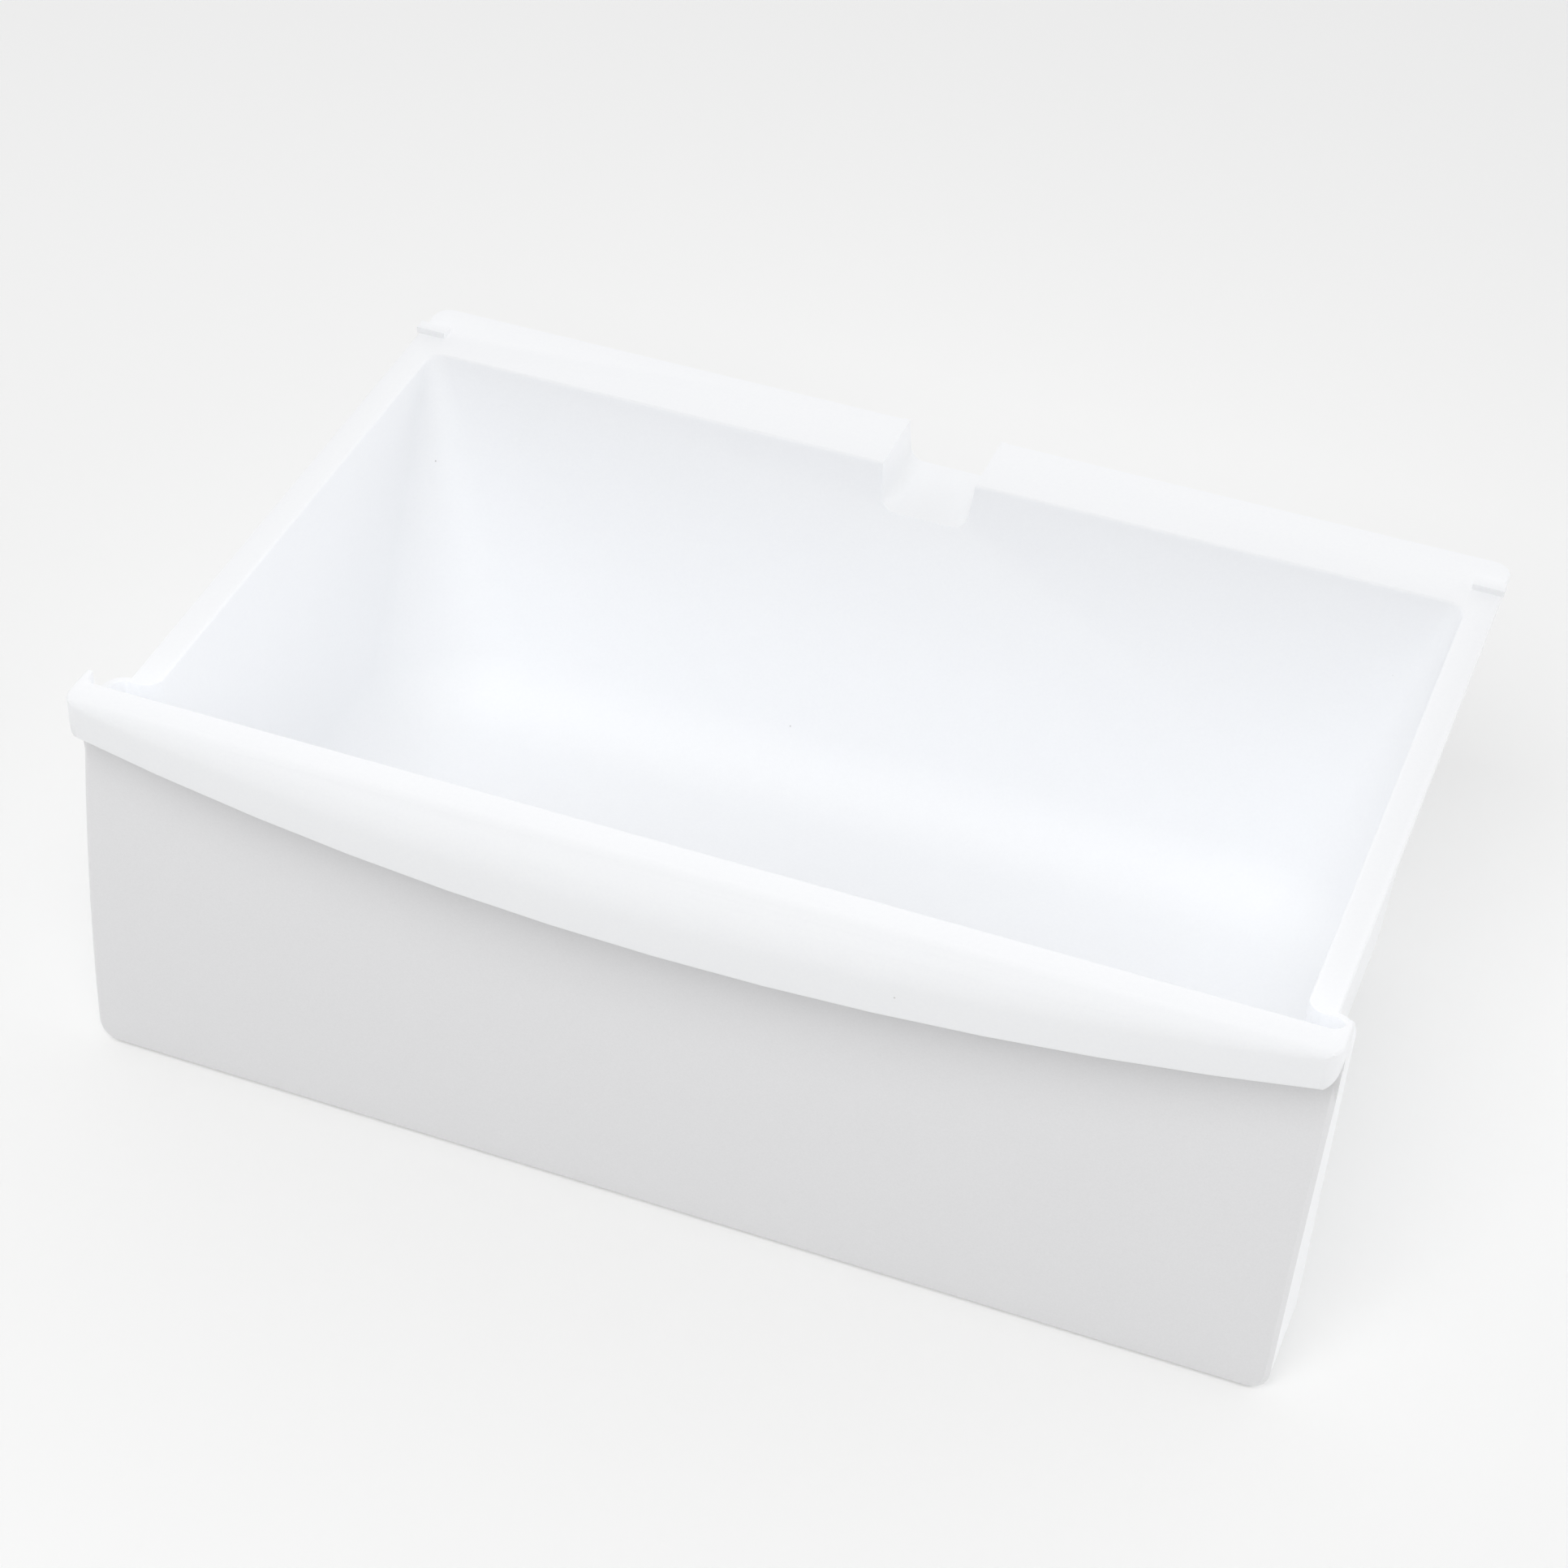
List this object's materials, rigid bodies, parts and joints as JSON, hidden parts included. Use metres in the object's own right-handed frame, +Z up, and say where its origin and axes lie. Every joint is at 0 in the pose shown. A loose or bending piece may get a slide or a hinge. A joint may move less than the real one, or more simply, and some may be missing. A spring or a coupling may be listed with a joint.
{
  "type": "refrigerator crisper drawer",
  "caption": "White moulded refrigerator crisper drawer: tapered tub with conical back corners, slide flanges, notched back rim, bowed front panel and overhanging handle lip.",
  "frame": {"origin": "underside of the floor, in the middle of the drawer's overall width and depth", "axes": "+X across the drawer to the right seen from the front, +Y from the front panel to the back, +Z up"},
  "size_m": [0.455, 0.302, 0.1524],
  "materials": {
    "white_plastic": "glossy injection-moulded white plastic, front panel finely matte"
  },
  "bodies": {
    "root": {"crisper_drawer": "white_plastic"}
  },
  "joints": []
}
